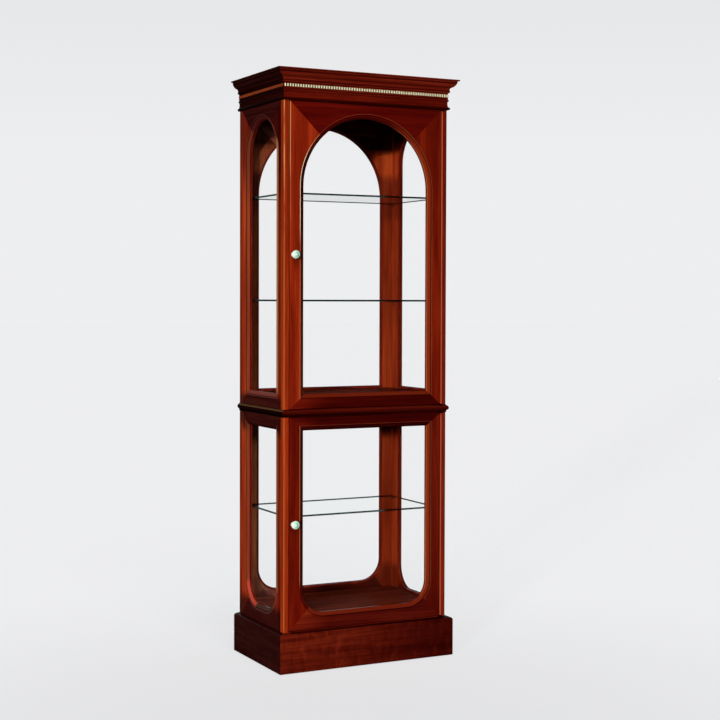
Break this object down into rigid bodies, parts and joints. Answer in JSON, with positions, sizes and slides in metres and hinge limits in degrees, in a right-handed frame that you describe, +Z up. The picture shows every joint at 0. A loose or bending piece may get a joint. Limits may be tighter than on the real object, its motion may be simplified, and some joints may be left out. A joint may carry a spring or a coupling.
{
  "type": "display case",
  "caption": "Tall glazed display case with an arched upper door, a lower door with rounded bottom corners, glass shelves, a dentil crown and a plinth.",
  "frame": {"origin": "on the floor, at the middle of the overall width and depth", "axes": "+X to the viewer's right, +Y to the back of the case, +Z up; the doors face -Y"},
  "size_m": [0.676, 0.409, 1.98],
  "materials": {
    "case_wood": "red-brown cherry stain under satin lacquer",
    "door_wood": "red-brown cherry stain under gloss lacquer",
    "moulding_wood": "red-brown cherry stain under gloss lacquer",
    "deck_wood": "red-brown cherry stain, polished",
    "bead_wood": "stained beech strip",
    "dentil_wood": "gilded blocks on a stained strip",
    "pane_glass": "clear float glass",
    "shelf_glass": "clear float glass with polished green edges",
    "polished_brass": "polished and lacquered",
    "dark_brass": "darkened to match the wood",
    "bright_steel": "zinc plated",
    "brown_plastic": "moulded",
    "black_plastic": "moulded nylon"
  },
  "bodies": {
    "case": {"back_lower_glass": "pane_glass", "back_rails": "case_wood", "back_stiles": "case_wood", "back_upper_glass": "pane_glass", "base_rails": "case_wood", "bottom_deck": "deck_wood", "crown_moulding": "moulding_wood", "deck_cleats": "deck_wood", "dentil_strips": "dentil_wood", "fixed_glass_beads": "bead_wood", "floor_glides": "black_plastic", "frieze_rails": "case_wood", "front_left_post": "case_wood", "front_right_post": "case_wood", "hinge_frame_leaves": "dark_brass", "hinge_pins": "dark_brass", "left_side_lower_glass": "pane_glass", "left_side_rails": "case_wood", "left_side_stiles": "case_wood", "left_side_upper_glass": "pane_glass", "lower_shelf": "shelf_glass", "magnetic_catches": "brown_plastic", "middle_deck": "deck_wood", "middle_shelf": "shelf_glass", "neck_moulding": "moulding_wood", "plinth_front": "moulding_wood", "plinth_sides": "moulding_wood", "rear_left_post": "case_wood", "rear_right_post": "case_wood", "right_side_lower_glass": "pane_glass", "right_side_rails": "case_wood", "right_side_stiles": "case_wood", "right_side_upper_glass": "pane_glass", "shelf_pins": "polished_brass", "top_board": "deck_wood", "upper_shelf": "shelf_glass", "waist_moulding": "moulding_wood", "waist_rails": "case_wood"},
    "upper_door": {"upper_door_arched_rail": "door_wood", "upper_door_bottom_rail": "door_wood", "upper_door_glass": "pane_glass", "upper_door_glass_bead": "bead_wood", "upper_door_hinge_leaves": "dark_brass", "upper_door_hinge_stile": "door_wood", "upper_door_knob": "polished_brass", "upper_door_knob_screw": "bright_steel", "upper_door_knob_stile": "door_wood", "upper_door_strike_plate": "bright_steel"},
    "lower_door": {"lower_door_bottom_rail": "door_wood", "lower_door_glass": "pane_glass", "lower_door_glass_bead": "bead_wood", "lower_door_hinge_leaves": "dark_brass", "lower_door_hinge_stile": "door_wood", "lower_door_knob": "polished_brass", "lower_door_knob_screw": "bright_steel", "lower_door_knob_stile": "door_wood", "lower_door_strike_plate": "bright_steel", "lower_door_top_rail": "door_wood"}
  },
  "joints": [
    {"name": "upper_door_hinge", "type": "hinge", "parent": "case", "child": "upper_door", "pos_m": [0.285, -0.1765, 1.373], "axis": [0, 0, 1], "range_deg": [0, 110]},
    {"name": "lower_door_hinge", "type": "hinge", "parent": "case", "child": "lower_door", "pos_m": [0.285, -0.1765, 0.4895], "axis": [0, 0, 1], "range_deg": [0, 110]}
  ]
}
